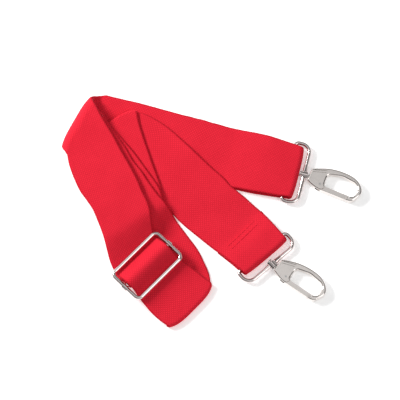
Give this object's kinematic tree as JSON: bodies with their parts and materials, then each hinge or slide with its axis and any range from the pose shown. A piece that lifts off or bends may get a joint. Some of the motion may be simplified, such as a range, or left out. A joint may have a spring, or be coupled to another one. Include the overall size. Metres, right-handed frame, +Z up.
{
  "type": "saxophone neck strap",
  "caption": "Folded strap of woven webbing with a swivel snap hook at each end and a wire slider that sets its length, lying flat.",
  "frame": {"origin": "middle of the footprint, on the surface that the folded strap lies on", "axes": "+X runs along the length of the folded strap, towards the hooks, +Z up"},
  "size_m": [0.184, 0.1514, 0.0143],
  "materials": {
    "webbing": "woven",
    "thread": "twisted thread",
    "wire_nickel": "polished nickel plate",
    "hook_nickel": "polished nickel plate over a zinc casting",
    "pin_nickel": "nickel plated steel",
    "spring_steel": "spring steel"
  },
  "bodies": {
    "strap": {"webbing_hook_a_lower_run": "webbing", "webbing_hook_a_upper_run": "webbing", "webbing_hook_a_loop": "webbing", "webbing_left_turn_outer": "webbing", "webbing_left_turn_inner": "webbing", "webbing_top_run": "webbing", "webbing_over_slider_bar": "webbing", "webbing_tail_run": "webbing", "webbing_slider_loop": "webbing", "webbing_lower_run": "webbing", "webbing_bottom_turn": "webbing", "webbing_return_run": "webbing", "webbing_inner_turn": "webbing", "webbing_second_run": "webbing", "webbing_hidden_turn": "webbing", "webbing_third_run": "webbing", "webbing_hook_b_turn": "webbing", "webbing_hook_b_run": "webbing", "webbing_hook_b_loop": "webbing", "hook_b_seam_1": "thread", "hook_b_seam_2": "thread", "slider_seam_1": "thread", "slider_seam_2": "thread"},
    "slider_bar": {"slider_bar": "pin_nickel"},
    "slider_frame": {"slider_frame": "wire_nickel"},
    "ring_a": {"ring_a": "wire_nickel"},
    "hook_a": {"hook_body_a": "hook_nickel", "swivel_rivet_a": "pin_nickel", "gate_pin_a": "pin_nickel", "gate_spring_a": "spring_steel"},
    "gate_a": {"hook_gate_a": "hook_nickel"},
    "ring_b": {"ring_b": "wire_nickel"},
    "hook_b": {"hook_body_b": "hook_nickel", "swivel_rivet_b": "pin_nickel", "gate_pin_b": "pin_nickel", "gate_spring_b": "spring_steel"},
    "gate_b": {"hook_gate_b": "hook_nickel"}
  },
  "joints": [
    {"name": "ring_a_hinge", "type": "hinge", "parent": "strap", "child": "ring_a", "pos_m": [0.04727, 0.02546, 0.00285], "axis": [0.2419, 0.9703, 0], "range_deg": [-110, 110]},
    {"name": "hook_a_swivel", "type": "hinge", "parent": "ring_a", "child": "hook_a", "pos_m": [0.05678, 0.02309, 0.00285], "axis": [0.9205, -0.3907, 0], "continuous": true},
    {"name": "gate_a_hinge", "type": "hinge", "parent": "hook_a", "child": "gate_a", "pos_m": [0.06634, 0.01643, 0.00285], "axis": [0, 0, 1], "range_deg": [0, 22], "stiffness_Nm_per_rad": 0.05, "springref_deg": -10},
    {"name": "ring_b_hinge", "type": "hinge", "parent": "strap", "child": "ring_b", "pos_m": [0.03037, -0.02674, 0.00285], "axis": [0.7547, 0.6561, 0], "range_deg": [-110, 110]},
    {"name": "hook_b_swivel", "type": "hinge", "parent": "ring_b", "child": "hook_b", "pos_m": [0.0368, -0.03414, 0.00285], "axis": [0.8192, -0.5736, 0], "continuous": true},
    {"name": "gate_b_hinge", "type": "hinge", "parent": "hook_b", "child": "gate_b", "pos_m": [0.04476, -0.04264, 0.00285], "axis": [0, 0, 1], "range_deg": [0, 22], "stiffness_Nm_per_rad": 0.05, "springref_deg": -10},
    {"name": "slider_bar_rock", "type": "hinge", "parent": "strap", "child": "slider_bar", "pos_m": [-0.03903, -0.03694, 0.00935], "axis": [0.6947, 0.7193, 0], "range_deg": [-4, 4]},
    {"name": "slider_frame_slide", "type": "slide", "parent": "slider_bar", "child": "slider_frame", "axis": [0.7193, -0.6947, 0], "range_m": [-0.001, 0.001]}
  ]
}
